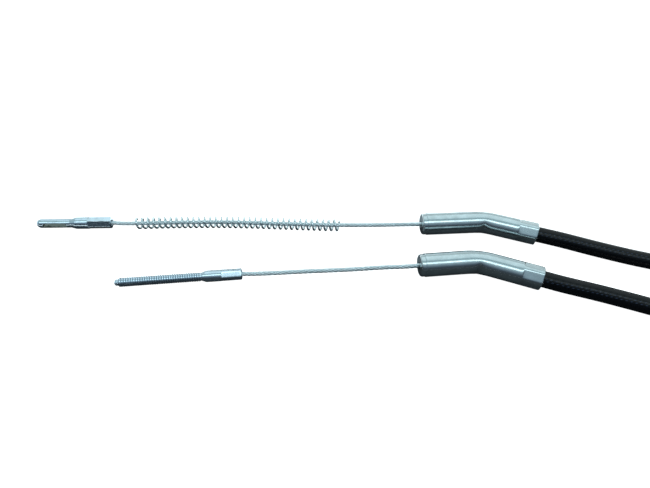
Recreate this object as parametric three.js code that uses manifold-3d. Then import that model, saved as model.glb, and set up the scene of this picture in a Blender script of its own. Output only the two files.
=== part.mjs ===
// Parking brake cable: a Bowden cable with a threaded stud at the lever end, a slotted eye and a return
// spring at the wheel end, and a bent steel ferrule crimped on each end of its black conduit.
// Millimetres, +Z up. The cable lies on the plane z = 0, with its two ends side by side, pointing to -X.
import * as THREE from 'three';
import { mergeVertices } from 'three/addons/utils/BufferGeometryUtils.js';
import Module from 'manifold-3d';

// Clearance between pieces that seat in each other
const SEAT_GAP = 0.3;

// Wire rope that slides in the conduit
const ROPE_DIAMETER = 2.7;

// Conduit, from the liner out to the jacket
const LINER_WALL = 0.5;
const ARMOUR_WALL = 1.3;
const JACKET_WALL = 1.3;

// Ferrules: a turned steel tube with a stepped nose, hex crimped on the conduit and bent
const FERRULE_WALL = 2.1;
const NOSE_STEP = 0.35;
const NOSE_LENGTH = 3.3;
const NOSE_ROUND = 1.6;
const NOSE_WALL = 4;
const NOSE_HOLE_DIAMETER = 4.6;
const BEND_RADIUS = 40;
const CREASE_DEPTH = 0.35;
const CREASE_LENGTH = 1.6;
const FERRULE_CRIMP_LENGTH = 13;
const FERRULE_CRIMP_DEPTH = 0.55;
const FERRULE_CRIMP_TURN = 26;
const FERRULE_END_CHAMFER = 0.8;
const CONDUIT_SEAT_DEPTH = 20;

// How far the rope's two moving ends reach into their ferrules, and the working travel of the brake
const WORKING_TRAVEL = 30;
const LEVER_ROPE_REACH = WORKING_TRAVEL + 8;
const WHEEL_ROPE_REACH = 4;
const ROPE_SEAT_DEPTH = 14;

// Threaded stud and its sleeve, measured from the sleeve's mouth to the tip
const STUD_THREAD_DIAMETER = 6;
const STUD_THREAD_LENGTH = 53;
const STUD_PILOT_DIAMETER = 4.2;
const STUD_PILOT_LENGTH = 2.3;
const STUD_TIP_CHAMFER = 0.8;
const STUD_NECK_DIAMETER = 5.2;
const STUD_NECK_LENGTH = 0.9;
const STUD_SLEEVE_DIAMETER = 7.6;
const STUD_SLEEVE_LENGTH = 22.9;
const STUD_SHOULDER_LENGTH = 3.4;
const STUD_CRIMP_LENGTH = 13.4;
const STUD_CRIMP_DEPTH = 0.5;
const STUD_TURN = -34;

// Slotted eye and its sleeve, measured the same way
const EYE_DIAMETER = 6.5;
const EYE_LENGTH = 24.8;
const EYE_SLOT_WIDTH = 4.3;
const EYE_SLOT_LENGTH = 17;
const EYE_TIP_WEB = 4.4;
const EYE_SLEEVE_DIAMETER = 8.5;
const EYE_SLEEVE_LENGTH = 24.8;
const EYE_SHOULDER_LENGTH = 3.6;
const EYE_CRIMP_LENGTH = 16.2;
const EYE_CRIMP_DEPTH = 0.6;
const SLEEVE_CHAMFER = 0.7;

// Ramp from the round to the hex stretch of a crimp
const CRIMP_RAMP = 0.8;

// Return spring, threaded loosely on the rope
const SPRING_DIAMETER = 8.9;
const SPRING_WIRE_DIAMETER = 1.4;
const SPRING_TURNS = 36;
const SPRING_LENGTH = 147;
const SPRING_SETBACK = 16.5;
const SPRING_LEAN_AT_EYE = -0.55;
const SPRING_LEAN_AT_FERRULE = 0.75;
const SPRING_DROP = 0.95;

// Where the cable's two ends lie: mouth of each ferrule, mouth of each sleeve, and their headings.
// The wheel side's rope leaves its ferrule at a slight angle, within the play of the nose hole.
const WHEEL_FERRULE = { x: 67.75, y: 18.85, heading: 3.2, lead: 44.1, bend: 22.5, tail: 36.6 };
const LEVER_FERRULE = { x: 61.5, y: -19, heading: 5.13, lead: 39.5, bend: 26, tail: 40.5 };
const WHEEL_ROPE_LINE = { x: 67.75, y: 18.85, heading: 1.5 };
const EYE_SEAT = { x: -152.9, y: 23.85, heading: 181 };
const STUD_SEAT = { x: -54.3, y: -22.75, heading: 185.1 };

// The rope's free way between each ferrule and its sleeve
const WHEEL_ROPE_WAY = [
  [14, 19.6, 6],
  [-25, 21.9, 4.75],
  [-68, 24, 4.4],
  [-104, 24.2, 4],
  [-136, 23.6, 3.7],
  [-147.5, 23.45, 3.95],
];
const LEVER_ROPE_WAY = [
  [38, -20.1, 7.2],
  [16, -21, 6.2],
  [-16, -21.75, 4.9],
  [-38, -22.5, 4.05],
  [-49, -22.7, 3.8],
];

// The conduit's free way along the ground, from the wheel ferrule to the lever ferrule
const CONDUIT_WAY = [
  [187, -4.1, 6.1],
  [211, -11.7, 5.45],
  [229, -16.1, 5.45],
  [242.5, -15.2, 5.45],
  [255.5, -11, 5.45],
  [267, -3, 5.45],
  [293.5, 9, 5.45],
  [322, 6.5, 5.45],
  [346, -10, 5.45],
  [358, -36.5, 5.45],
  [355.5, -65, 5.45],
  [339, -89, 5.45],
  [312.5, -101, 5.45],
  [288.5, -100, 5.45],
  [267, -89, 5.45],
  [251.5, -77, 5.45],
  [235.5, -66, 5.45],
  [218, -56.8, 5.45],
  [195, -47.7, 5.45],
  [173, -40.3, 6.1],
];

// Middle of the two ends on the ground, which is the origin
const ORIGIN = { x: -28.8, y: -3.895 };

// Faceting
const ROUND_SIDES = 24;
const ROPE_SIDES = 8;
const CONDUIT_SIDES = 10;
const BEND_STEPS = 6;
const CONDUIT_STEPS = 26;
const ROPE_STEP = 11;
const SPRING_SIDES = 6;
const SPRING_STEPS_PER_TURN = 12;

// Sizes that follow from those above
const ROPE_RADIUS = ROPE_DIAMETER / 2;
const LINER_BORE = ROPE_RADIUS + SEAT_GAP;
const ARMOUR_BORE = LINER_BORE + LINER_WALL + SEAT_GAP;
const JACKET_BORE = ARMOUR_BORE + ARMOUR_WALL + SEAT_GAP;
const CONDUIT_RADIUS = JACKET_BORE + JACKET_WALL;
const FERRULE_BORE = CONDUIT_RADIUS + SEAT_GAP;
const FERRULE_RADIUS = FERRULE_BORE + FERRULE_WALL;
const SLEEVE_BORE = ROPE_RADIUS + SEAT_GAP;
const SPRING_RADIUS = (SPRING_DIAMETER - SPRING_WIRE_DIAMETER) / 2;

const wasm = await Module();
wasm.setup();

// Joins the vertices that coincide and drops the flat triangles at a lathe's poles
function welded(geometry) {
  const bare = geometry.clone();
  bare.deleteAttribute('normal');
  bare.deleteAttribute('uv');
  const merged = mergeVertices(bare);
  const corners = Array.from(merged.index.array);
  const kept = [];
  for (let i = 0; i < corners.length; i += 3) {
    const [a, b, c] = corners.slice(i, i + 3);
    if (a !== b && b !== c && c !== a) kept.push(a, b, c);
  }
  merged.setIndex(kept);
  return merged;
}

// Revolves a profile of [along, radius] points about X
function turned(profile) {
  const points = profile.map(([along, radius]) => new THREE.Vector2(radius, along));
  const geometry = new THREE.LatheGeometry(points, ROUND_SIDES);
  geometry.rotateZ(-Math.PI / 2);
  return welded(geometry);
}

// Moves every vertex of a geometry by a function of its place
function reshaped(geometry, move) {
  const position = geometry.attributes.position;
  const place = new THREE.Vector3();
  for (let i = 0; i < position.count; i += 1) {
    place.fromBufferAttribute(position, i);
    move(place);
    position.setXYZ(i, place.x, place.y, place.z);
  }
  return geometry;
}

// Presses six flats into the outside of a turned piece between two stations
function hexCrimped(geometry, from, to, radius, bore, depth) {
  const half = radius - depth;
  return reshaped(geometry, (place) => {
    const reach = Math.hypot(place.y, place.z);
    if (place.x < from - 1e-3 || place.x > to + 1e-3 || reach < bore + 1e-3) return;
    const sixth = Math.PI / 3;
    const angle = Math.atan2(place.y, place.z);
    const offFlat = angle - sixth * Math.round(angle / sixth);
    const flattening = Math.min(1, half / (radius * Math.cos(offFlat)));
    place.y *= flattening;
    place.z *= flattening;
  });
}

// How far the inner side of a bend buckles inwards at a station: to a corner, with a crease in its middle
function buckle(along, start, end) {
  const nearest = Math.max(0, Math.min(along - start, end - along));
  const corner = nearest ** 2 / (2 * BEND_RADIUS);
  return corner + CREASE_DEPTH * Math.exp(-(((along - (start + end) / 2) / CREASE_LENGTH) ** 2));
}

// Bends a piece that runs along X to the right, through an arc that starts at a station
function bentRight(geometry, start, angle) {
  const end = start + BEND_RADIUS * angle;
  return reshaped(geometry, (place) => {
    if (place.x <= start) return;
    place.y += buckle(place.x, start, end) * Math.max(0, -place.y / FERRULE_RADIUS) ** 2;
    const turn = Math.min(place.x - start, end - start) / BEND_RADIUS;
    const beyond = Math.max(place.x - end, 0);
    const reach = BEND_RADIUS + place.y;
    place.x = start + reach * Math.sin(turn) + beyond * Math.cos(turn);
    place.y = reach * Math.cos(turn) - BEND_RADIUS - beyond * Math.sin(turn);
  });
}

// The steel tube ferrule, mouth at the local origin, running along +X and bending right
function ferruleLengths(ferrule) {
  const angle = THREE.MathUtils.degToRad(ferrule.bend);
  const tangent = BEND_RADIUS * Math.tan(angle / 2);
  const bendStart = ferrule.lead - tangent;
  const bendEnd = bendStart + BEND_RADIUS * angle;
  return { angle, bendStart, bendEnd, length: bendEnd + ferrule.tail - tangent };
}

function ferruleGeometry(ferrule) {
  const { angle, bendStart, bendEnd, length } = ferruleLengths(ferrule);
  const noseRadius = FERRULE_RADIUS - NOSE_STEP;
  const hole = NOSE_HOLE_DIAMETER / 2;
  const crimpStart = length - FERRULE_CRIMP_LENGTH;
  const roundOff = NOSE_ROUND * (1 - Math.SQRT1_2);
  const stations = [];
  for (let i = 0; i <= BEND_STEPS; i += 1) {
    stations.push(bendStart + ((bendEnd - bendStart) * i) / BEND_STEPS);
  }
  const profile = [
    [0, hole],
    [0, noseRadius - NOSE_ROUND],
    [roundOff, noseRadius - roundOff],
    [NOSE_ROUND, noseRadius],
    [NOSE_LENGTH, noseRadius],
    [NOSE_LENGTH + NOSE_STEP, FERRULE_RADIUS],
    ...stations.map((along) => [along, FERRULE_RADIUS]),
    [crimpStart, FERRULE_RADIUS],
    [crimpStart + CRIMP_RAMP, FERRULE_RADIUS],
    [length - FERRULE_END_CHAMFER, FERRULE_RADIUS],
    [length, FERRULE_RADIUS - FERRULE_END_CHAMFER],
    [length, FERRULE_BORE],
    ...stations.toReversed().map((along) => [along, FERRULE_BORE]),
    [NOSE_WALL, FERRULE_BORE],
    [NOSE_WALL, hole],
    [0, hole],
  ];
  const tube = turned(profile);
  hexCrimped(tube, crimpStart + CRIMP_RAMP, length, FERRULE_RADIUS, FERRULE_BORE, FERRULE_CRIMP_DEPTH);
  tube.rotateX(THREE.MathUtils.degToRad(FERRULE_CRIMP_TURN));
  return bentRight(tube, bendStart, angle);
}

// A point on a seat's or ferrule's axis, so far ahead of its mouth
function ahead(seat, distance, height) {
  const heading = THREE.MathUtils.degToRad(seat.heading);
  return new THREE.Vector3(
    seat.x + distance * Math.cos(heading),
    seat.y + distance * Math.sin(heading),
    height,
  );
}

// A point on the axis of a ferrule's tail, so far past its crimped end
function pastTail(ferrule, distance) {
  const corner = ahead(ferrule, ferrule.lead, FERRULE_RADIUS);
  const tail = { x: corner.x, y: corner.y, heading: ferrule.heading - ferrule.bend };
  return ahead(tail, ferrule.tail + distance, FERRULE_RADIUS);
}

// A smooth way through points
function way(points) {
  const curve = new THREE.CatmullRomCurve3(points, false, 'centripetal');
  curve.arcLengthDivisions = 2000;
  return curve;
}

function vectors(list) {
  return list.map((point) => new THREE.Vector3(...point));
}

// A regular outline of a given radius, as a cross-section
function ring(radius, sides) {
  const outline = [];
  for (let i = 0; i < sides; i += 1) {
    const angle = (2 * Math.PI * i) / sides;
    outline.push(new THREE.Vector2(radius * Math.cos(angle), radius * Math.sin(angle)));
  }
  return outline;
}

// A round rod, or a tube where it has a bore, along a curve
function swept(curve, steps, sides, radius, bore = 0) {
  const section = new THREE.Shape(ring(radius, sides));
  if (bore > 0) section.holes.push(new THREE.Path(ring(bore, sides)));
  return welded(new THREE.ExtrudeGeometry(section, { extrudePath: curve, steps, curveSegments: sides }));
}

function ropeGeometry(curve) {
  const steps = Math.ceil(curve.getLength() / ROPE_STEP);
  return swept(curve, steps, ROPE_SIDES, ROPE_RADIUS);
}

// The outside of a crimp sleeve from its mouth on, and its blind bore for the rope
function sleeveProfile(radius, crimpLength) {
  return [
    [ROPE_SEAT_DEPTH + SEAT_GAP, 0],
    [ROPE_SEAT_DEPTH + SEAT_GAP, SLEEVE_BORE],
    [0, SLEEVE_BORE],
    [0, radius - SLEEVE_CHAMFER],
    [SLEEVE_CHAMFER, radius],
    [crimpLength - CRIMP_RAMP, radius],
    [crimpLength, radius],
  ];
}

// The threaded stud and its crimp sleeve, turned from one bar
function studGeometry() {
  const sleeve = STUD_SLEEVE_DIAMETER / 2;
  const thread = STUD_THREAD_DIAMETER / 2;
  const pilot = STUD_PILOT_DIAMETER / 2;
  const neck = STUD_NECK_DIAMETER / 2;
  const neckStart = STUD_SLEEVE_LENGTH + STUD_SHOULDER_LENGTH;
  const threadStart = neckStart + STUD_NECK_LENGTH;
  const threadEnd = neckStart + STUD_THREAD_LENGTH;
  const tip = threadEnd + STUD_PILOT_LENGTH;
  const lead = thread - pilot;
  const stud = turned([
    ...sleeveProfile(sleeve, STUD_CRIMP_LENGTH),
    [STUD_SLEEVE_LENGTH, sleeve],
    [neckStart, neck],
    [threadStart - (thread - neck), neck],
    [threadStart, thread],
    [threadEnd - lead, thread],
    [threadEnd, pilot],
    [tip - STUD_TIP_CHAMFER, pilot],
    [tip, pilot - STUD_TIP_CHAMFER],
    [tip, 0],
  ]);
  hexCrimped(stud, 0, STUD_CRIMP_LENGTH - CRIMP_RAMP, sleeve, SLEEVE_BORE, STUD_CRIMP_DEPTH);
  stud.rotateX(THREE.MathUtils.degToRad(STUD_TURN));
  return stud;
}

function toManifold(geometry) {
  return new wasm.Manifold(
    new wasm.Mesh({
      numProp: 3,
      vertProperties: new Float32Array(geometry.attributes.position.array),
      triVerts: new Uint32Array(geometry.index.array),
    }),
  );
}

function fromManifold(solid) {
  const mesh = solid.getMesh();
  const geometry = new THREE.BufferGeometry();
  geometry.setAttribute('position', new THREE.BufferAttribute(mesh.vertProperties, 3));
  geometry.setIndex(new THREE.BufferAttribute(mesh.triVerts, 1));
  return geometry;
}

// A bar with round ends that cuts the eye's slot, lying across the eye
function slotCutter(middle) {
  const half = EYE_SLOT_WIDTH / 2;
  const straight = EYE_SLOT_LENGTH / 2 - half;
  const outline = new THREE.Shape();
  outline.moveTo(-straight, -half);
  outline.lineTo(straight, -half);
  outline.absarc(straight, 0, half, -Math.PI / 2, Math.PI / 2, false);
  outline.lineTo(-straight, half);
  outline.absarc(-straight, 0, half, Math.PI / 2, (3 * Math.PI) / 2, false);
  const depth = EYE_SLEEVE_DIAMETER;
  const cutter = new THREE.ExtrudeGeometry(outline, { depth, bevelEnabled: false, curveSegments: 8 });
  cutter.translate(0, 0, -depth / 2);
  cutter.rotateX(Math.PI / 2);
  cutter.translate(middle, 0, 0);
  return welded(cutter);
}

// The slotted eye and its crimp sleeve, turned from one bar, crimped and slotted
function eyeGeometry() {
  const sleeve = EYE_SLEEVE_DIAMETER / 2;
  const bar = EYE_DIAMETER / 2;
  const barStart = EYE_SLEEVE_LENGTH + EYE_SHOULDER_LENGTH;
  const tip = barStart + EYE_LENGTH;
  const dome = [30, 60].map((degrees) => {
    const angle = THREE.MathUtils.degToRad(degrees);
    return [tip - bar + bar * Math.sin(angle), bar * Math.cos(angle)];
  });
  const eye = turned([
    ...sleeveProfile(sleeve, EYE_CRIMP_LENGTH),
    [EYE_SLEEVE_LENGTH, sleeve],
    [barStart, bar],
    [tip - bar, bar],
    ...dome,
    [tip, 0],
  ]);
  hexCrimped(eye, 0, EYE_CRIMP_LENGTH - CRIMP_RAMP, sleeve, SLEEVE_BORE, EYE_CRIMP_DEPTH);
  const middle = tip - EYE_TIP_WEB - EYE_SLOT_LENGTH / 2;
  const slotted = toManifold(eye).subtract(toManifold(slotCutter(middle)));
  return fromManifold(slotted);
}

// The spring's wire, a right-hand helix about the rope's free way
class SpringWire extends THREE.Curve {
  constructor(rope, start, length) {
    super();
    this.rope = rope;
    this.total = rope.getLength();
    this.start = start;
    this.length = length;
    this.arcLengthDivisions = SPRING_TURNS * 60;
  }

  axisPoint(t) {
    const point = this.rope.getPointAt((this.start + this.length * t) / this.total);
    point.y += THREE.MathUtils.lerp(SPRING_LEAN_AT_EYE, SPRING_LEAN_AT_FERRULE, t);
    point.z = Math.max(SPRING_DIAMETER / 2, point.z - SPRING_DROP);
    return point;
  }

  getPoint(t, target = new THREE.Vector3()) {
    const along = this.rope.getTangentAt((this.start + this.length * t) / this.total);
    const side = new THREE.Vector3(0, 0, 1).cross(along).normalize();
    const up = along.clone().cross(side);
    const turn = 2 * Math.PI * SPRING_TURNS * t;
    return target
      .copy(this.axisPoint(t))
      .addScaledVector(side, SPRING_RADIUS * Math.cos(turn))
      .addScaledVector(up, SPRING_RADIUS * Math.sin(turn));
  }
}

// Routes, each from its inner to its outer end
const eyeHeight = EYE_SLEEVE_DIAMETER / 2;
const studHeight = STUD_SLEEVE_DIAMETER / 2;

const wheelRopeWay = way([
  ahead(EYE_SEAT, ROPE_SEAT_DEPTH, eyeHeight),
  ahead(EYE_SEAT, 0, eyeHeight),
  ...vectors(WHEEL_ROPE_WAY).toReversed(),
  ahead(WHEEL_ROPE_LINE, -WORKING_TRAVEL, FERRULE_RADIUS),
  ahead(WHEEL_ROPE_LINE, -WORKING_TRAVEL / 2, FERRULE_RADIUS),
  ahead(WHEEL_ROPE_LINE, WHEEL_ROPE_REACH, FERRULE_RADIUS),
]);

const leverRopeWay = way([
  ahead(STUD_SEAT, ROPE_SEAT_DEPTH, studHeight),
  ahead(STUD_SEAT, 0, studHeight),
  ...vectors(LEVER_ROPE_WAY).toReversed(),
  ahead(LEVER_FERRULE, -8, FERRULE_RADIUS),
  ahead(LEVER_FERRULE, 0, FERRULE_RADIUS),
  ahead(LEVER_FERRULE, LEVER_ROPE_REACH / 2, FERRULE_RADIUS),
  ahead(LEVER_FERRULE, LEVER_ROPE_REACH, FERRULE_RADIUS),
]);

const conduitWay = way([
  pastTail(WHEEL_FERRULE, -CONDUIT_SEAT_DEPTH),
  pastTail(WHEEL_FERRULE, 0),
  pastTail(WHEEL_FERRULE, 15),
  ...vectors(CONDUIT_WAY),
  pastTail(LEVER_FERRULE, 12),
  pastTail(LEVER_FERRULE, 0),
  pastTail(LEVER_FERRULE, -CONDUIT_SEAT_DEPTH),
]);

// Finishes
const zincPlate = new THREE.MeshStandardMaterial({ color: 0xc3cfd6, roughness: 0.22, metalness: 1 });
const ropeSteel = new THREE.MeshStandardMaterial({ color: 0xb9c4cc, roughness: 0.35, metalness: 1 });
const springSteel = new THREE.MeshStandardMaterial({ color: 0x9fb0ba, roughness: 0.3, metalness: 1 });
const jacketBlack = new THREE.MeshStandardMaterial({ color: 0x15171a, roughness: 0.45, metalness: 0 });
const linerWhite = new THREE.MeshStandardMaterial({ color: 0xe6e4dc, roughness: 0.5, metalness: 0 });

const cable = new THREE.Group();
cable.position.set(-ORIGIN.x, -ORIGIN.y, 0);

function place(name, geometry, material, parent = cable) {
  const mesh = new THREE.Mesh(geometry, material);
  mesh.name = name;
  parent.add(mesh);
  return mesh;
}

// A group that stands at a seat and looks along its heading
function seated(seat, height) {
  const group = new THREE.Group();
  group.position.set(seat.x, seat.y, height);
  group.rotation.z = THREE.MathUtils.degToRad(seat.heading);
  cable.add(group);
  return group;
}

// Conduit and the rope that it holds
const layer = (radius, bore) => swept(conduitWay, CONDUIT_STEPS, CONDUIT_SIDES, radius, bore);
place('conduit_jacket', layer(CONDUIT_RADIUS, JACKET_BORE), jacketBlack);
place('conduit_armour', layer(JACKET_BORE - SEAT_GAP, ARMOUR_BORE), ropeSteel);
place('conduit_liner', layer(ARMOUR_BORE - SEAT_GAP, LINER_BORE), linerWhite);
place('conduit_rope', swept(conduitWay, CONDUIT_STEPS, CONDUIT_SIDES, ROPE_RADIUS), ropeSteel);

// Ferrules
const wheelFerruleGroup = seated(WHEEL_FERRULE, FERRULE_RADIUS);
const leverFerruleGroup = seated(LEVER_FERRULE, FERRULE_RADIUS);
place('wheel_ferrule', ferruleGeometry(WHEEL_FERRULE), zincPlate, wheelFerruleGroup);
place('lever_ferrule', ferruleGeometry(LEVER_FERRULE), zincPlate, leverFerruleGroup);

// Lever end
place('lever_rope', ropeGeometry(leverRopeWay), ropeSteel);
place('threaded_stud', studGeometry(), zincPlate, seated(STUD_SEAT, studHeight));

// Wheel end
place('wheel_rope', ropeGeometry(wheelRopeWay), ropeSteel);
place('slotted_eye', eyeGeometry(), zincPlate, seated(EYE_SEAT, eyeHeight));
const springWire = new SpringWire(wheelRopeWay, ROPE_SEAT_DEPTH + SPRING_SETBACK, SPRING_LENGTH);
const springSteps = SPRING_TURNS * SPRING_STEPS_PER_TURN;
const springGeometry = swept(springWire, springSteps, SPRING_SIDES, SPRING_WIRE_DIAMETER / 2);
place('return_spring', springGeometry, springSteel);

export default cable;
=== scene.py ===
"""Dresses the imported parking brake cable: fine ferrules, ropes, stud, eye, spring and conduit, with finishes.

It is laid out as a Blender add-on and runs as a script. Pieces are shaped in millimetres about the local
X axis, as on a lathe, and are then seated on the frame in metres.
"""

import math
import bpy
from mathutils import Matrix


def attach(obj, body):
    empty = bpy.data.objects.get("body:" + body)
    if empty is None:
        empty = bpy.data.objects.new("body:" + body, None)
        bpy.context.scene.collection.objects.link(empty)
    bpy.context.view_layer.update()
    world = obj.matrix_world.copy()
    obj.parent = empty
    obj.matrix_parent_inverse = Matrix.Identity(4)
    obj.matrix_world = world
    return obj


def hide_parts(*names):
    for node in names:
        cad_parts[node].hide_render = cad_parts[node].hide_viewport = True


bl_info = {
    "name": "Parking Brake Cable",
    "version": (1, 0, 0),
    "blender": (4, 5, 0),
    "location": "3D View > Sidebar > Brake Cable",
    "description": "Models a parking brake cable with crimped ferrules, a threaded stud and a slotted eye",
    "category": "Object",
}

import bpy
import numpy as np
from mathutils import Vector

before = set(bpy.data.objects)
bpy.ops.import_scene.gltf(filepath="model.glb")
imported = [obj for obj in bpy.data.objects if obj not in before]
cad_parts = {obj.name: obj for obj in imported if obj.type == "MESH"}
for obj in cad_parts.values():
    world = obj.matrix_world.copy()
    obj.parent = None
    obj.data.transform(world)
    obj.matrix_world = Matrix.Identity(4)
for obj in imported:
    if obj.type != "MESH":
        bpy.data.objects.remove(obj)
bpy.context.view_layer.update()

MM = 0.001
ORIGIN_MM = np.array([-28.8, -3.895, 0.0])

# Where the two cable ends lie, in millimetres and degrees, as in the part's source
WHEEL_FERRULE = {"x": 67.75, "y": 18.85, "heading": 3.2, "lead": 44.1, "bend": 22.5, "tail": 36.6}
LEVER_FERRULE = {"x": 61.5, "y": -19, "heading": 5.13, "lead": 39.5, "bend": 26, "tail": 40.5}
WHEEL_ROPE_LINE = {"x": 67.75, "y": 18.85, "heading": 1.5}
EYE_SEAT = {"x": -152.9, "y": 23.85, "heading": 181}
STUD_SEAT = {"x": -54.3, "y": -22.75, "heading": 185.1}

WHEEL_ROPE_WAY = [
    (14, 19.6, 6), (-25, 21.9, 4.75), (-68, 24, 4.4), (-104, 24.2, 4), (-136, 23.6, 3.7),
    (-147.5, 23.45, 3.95),
]
LEVER_ROPE_WAY = [(38, -20.1, 7.2), (16, -21, 6.2), (-16, -21.75, 4.9), (-38, -22.5, 4.05), (-49, -22.7, 3.8)]
CONDUIT_WAY = [
    (187, -4.1, 6.1), (211, -11.7, 5.45), (229, -16.1, 5.45), (242.5, -15.2, 5.45), (255.5, -11, 5.45),
    (267, -3, 5.45), (293.5, 9, 5.45), (322, 6.5, 5.45), (346, -10, 5.45), (358, -36.5, 5.45),
    (355.5, -65, 5.45), (339, -89, 5.45), (312.5, -101, 5.45), (288.5, -100, 5.45), (267, -89, 5.45),
    (251.5, -77, 5.45), (235.5, -66, 5.45), (218, -56.8, 5.45), (195, -47.7, 5.45), (173, -40.3, 6.1),
]

# Fixed proportions of the pieces, in millimetres and degrees
SEAT_GAP = 0.3
WORKING_TRAVEL = 30
ROPE_SEAT_DEPTH = 14
CONDUIT_SEAT_DEPTH = 20
LEVER_ROPE_REACH = WORKING_TRAVEL + 8
WHEEL_ROPE_REACH = 4
MOUTH_STRAIGHT = 8
WHEEL_STRAIGHT = 15
LEVER_STRAIGHT = 12
JACKET_WALL = 1.3
LINER_WALL = 0.5
NOSE_STEP = 0.35
NOSE_LENGTH = 3.3
NOSE_ROUND = 1.6
NOSE_WALL = 4
NOSE_HOLE_RADIUS = 2.3
FERRULE_CRIMP_LENGTH = 13
FERRULE_CRIMP_TURN = 42
FERRULE_END_ROUND = 0.8
CREASE_DEPTH = 0.5
CREASE_LENGTH = 1.6
CREASE_POWER = 4
EYE_SLEEVE = 4.25
STUD_SLEEVE = 3.8
SLEEVE_ROUND = 0.7
CRIMP_RAMP = 0.8
MOUTH_CHAMFER = 0.25

# A painted highlight on the jacket, a double row of bluish dots where the lamp's highlight runs: its pitch in
# millimetres, the rest as shares of the way round
HIGHLIGHT_DOT_PITCH = 2.9
HIGHLIGHT_DOT_WIDTH = 0.012
HIGHLIGHT_DOT_SLANT = 14
HIGHLIGHT_DOT_COLOUR = (0.05, 0.07, 0.12, 1)
HIGHLIGHT_ROW_PLACE = 0.364
HIGHLIGHT_ROW_DRIFT = 0.25
HIGHLIGHT_ROW_SPREAD = 0.022


def length_property(name, description, default):
    return bpy.props.FloatProperty(
        name=name, description=description, default=default, unit="LENGTH", precision=5
    )


def count_property(name, description, default, least, most):
    return bpy.props.IntProperty(name=name, description=description, default=default, min=least, max=most)


def colour_property(name, description, default):
    return bpy.props.FloatVectorProperty(
        name=name, description=description, default=default, subtype="COLOR", size=3
    )


class CableSizes(bpy.types.PropertyGroup):
    """Sizes of the cable that a user would change."""

    rope_diameter: length_property("Rope Diameter", "Diameter of the wire rope", 0.003)
    rope_strands: count_property("Rope Strands", "Number of strands wound round the rope's core", 6, 4, 24)
    strand_lay: length_property("Strand Lay", "Length of rope in which a strand goes round once", 0.02)
    conduit_diameter: length_property("Conduit Diameter", "Outside diameter of the jacket", 0.0107)
    armour_wires: count_property("Armour Wires", "Number of wires in the ring under the jacket", 18, 8, 40)
    armour_lay: length_property("Armour Lay", "Length in which an armour wire goes round once", 0.072)
    ferrule_diameter: length_property("Ferrule Diameter", "Outside diameter of the steel ferrules", 0.0155)
    ferrule_crimp: length_property("Ferrule Crimp", "Depth of the six flats in a ferrule", 0.00055)
    bend_radius: length_property("Bend Radius", "Radius of a ferrule's bend at its axis", 0.04)
    thread_diameter: length_property("Thread Diameter", "Outside diameter of the stud's thread", 0.006)
    thread_pitch: length_property("Thread Pitch", "Distance between two threads", 0.0015)
    spring_diameter: length_property("Spring Diameter", "Outside diameter of the return spring", 0.0089)
    spring_wire: length_property("Spring Wire", "Diameter of the spring's wire", 0.0014)
    spring_turns: count_property("Spring Turns", "Number of turns in the return spring", 36, 4, 80)


class CableFinishes(bpy.types.PropertyGroup):
    """Colours of the cable's finishes and of the stage."""

    zinc: colour_property("Zinc", "Colour of the bright zinc plating", (0.68, 0.78, 0.81))
    blue_zinc: colour_property("Blue Zinc", "Colour of the stud's and the eye's plating", (0.72, 0.87, 0.97))
    rope_wire: colour_property("Rope Wire", "Colour of the rope's drawn wires", (0.88, 0.97, 1.0))
    spring_wire: colour_property("Spring Wire", "Colour of the spring's wire", (0.85, 0.97, 1.0))
    jacket: colour_property("Jacket", "Colour of the conduit's plastic jacket", (0.0015, 0.002, 0.003))
    liner: colour_property("Liner", "Colour of the plastic liner", (0.8, 0.79, 0.75))
    floor: colour_property("Floor", "Colour of the floor", (0.9, 0.9, 0.9))


def sizes():
    return bpy.context.scene.brake_cable_sizes


def finishes():
    return bpy.context.scene.brake_cable_finishes


def ahead(seat, distance, height):
    """A point on a seat's axis, so far ahead of its mouth."""
    heading = math.radians(seat["heading"])
    return (seat["x"] + distance * math.cos(heading), seat["y"] + distance * math.sin(heading), height)


def past_tail(ferrule, distance):
    """A point on the axis of a ferrule's tail, so far past its crimped end."""
    height = sizes().ferrule_diameter / MM / 2
    x, y, _ = ahead(ferrule, ferrule["lead"], height)
    tail = {"x": x, "y": y, "heading": ferrule["heading"] - ferrule["bend"]}
    return ahead(tail, ferrule["tail"] + distance, height)


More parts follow.
